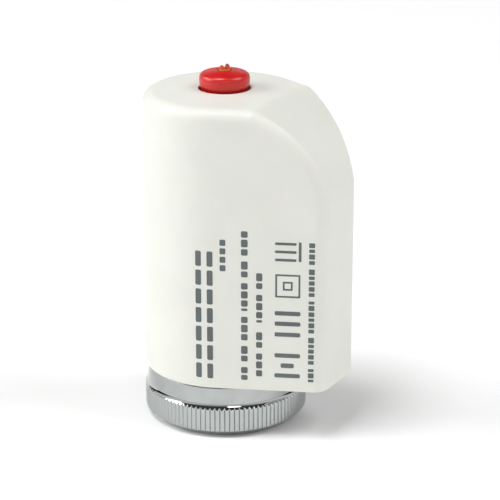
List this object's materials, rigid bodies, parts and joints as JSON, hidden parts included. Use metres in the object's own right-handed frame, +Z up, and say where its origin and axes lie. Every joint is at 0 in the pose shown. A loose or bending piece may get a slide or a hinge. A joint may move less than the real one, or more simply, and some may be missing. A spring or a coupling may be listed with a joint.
{
  "type": "valve actuator head",
  "caption": "Electro-thermal actuator head with a knurled union nut: a heated wax capsule lifts a sprung plunger off a valve pin, and a red button shows its position.",
  "frame": {"origin": "on the union nut's axis, in the plane of the nut's lower end, where the valve's thread enters", "axes": "+Z up along the nut's and plunger's axis, away from the valve; +X towards the housing's nose; +Y completes the right-handed set"},
  "size_m": [0.0491, 0.038, 0.0838],
  "materials": {
    "housing_plastic": "satin off-white moulding",
    "base_plastic": "satin grey-white moulding",
    "nut_chrome": "satin chrome, polished chamfer",
    "ring_steel": "bright spring steel",
    "frame_steel": "zinc-plated sheet",
    "screw_steel": "zinc-plated",
    "holder_plastic": "glass-filled moulding",
    "contact_brass": "bright strip",
    "heater_ceramic": "fired, silvered faces",
    "cup_brass": "turned",
    "wax": "waxy",
    "boot_rubber": "matte",
    "piston_steel": "ground",
    "yoke_plastic": "glass-filled moulding",
    "plunger_steel": "turned",
    "washer_steel": "zinc-plated",
    "spring_steel": "oiled spring wire",
    "stem_plastic": "orange-red moulding",
    "cap_plastic": "glossy red moulding",
    "socket_plastic": "glass-filled moulding",
    "pin_brass": "tinned",
    "live_insulation": "PVC",
    "neutral_insulation": "PVC"
  },
  "bodies": {
    "root": {"cover": "housing_plastic", "base": "base_plastic", "retaining_ring": "ring_steel", "spring_frame": "frame_steel", "frame_screw_left": "screw_steel", "frame_screw_right": "screw_steel", "element_holder": "holder_plastic", "lower_contact": "contact_brass", "upper_contact": "contact_brass", "ptc_heater": "heater_ceramic", "wax_cup": "cup_brass", "wax_charge": "wax", "rubber_boot": "boot_rubber", "piston_guide": "cup_brass", "closing_spring": "spring_steel", "lead_socket": "socket_plastic", "socket_pin_live": "pin_brass", "socket_pin_neutral": "pin_brass", "live_crimp": "pin_brass", "neutral_crimp": "pin_brass", "live_lead": "live_insulation", "neutral_lead": "neutral_insulation"},
    "nut": {"union_nut": "nut_chrome"},
    "lifter": {"yoke": "yoke_plastic", "plunger": "plunger_steel", "piston": "piston_steel", "spring_washer": "washer_steel", "indicator_stem": "stem_plastic", "indicator_cap": "cap_plastic"}
  },
  "joints": [
    {"name": "nut_turn", "type": "hinge", "parent": "root", "child": "nut", "pos_m": [0, 0, 0], "axis": [0, 0, 1], "continuous": true},
    {"name": "lifter_travel", "type": "slide", "parent": "root", "child": "lifter", "axis": [0, 0, 1], "range_m": [-0.004, 0], "deforming": ["closing_spring"]}
  ]
}
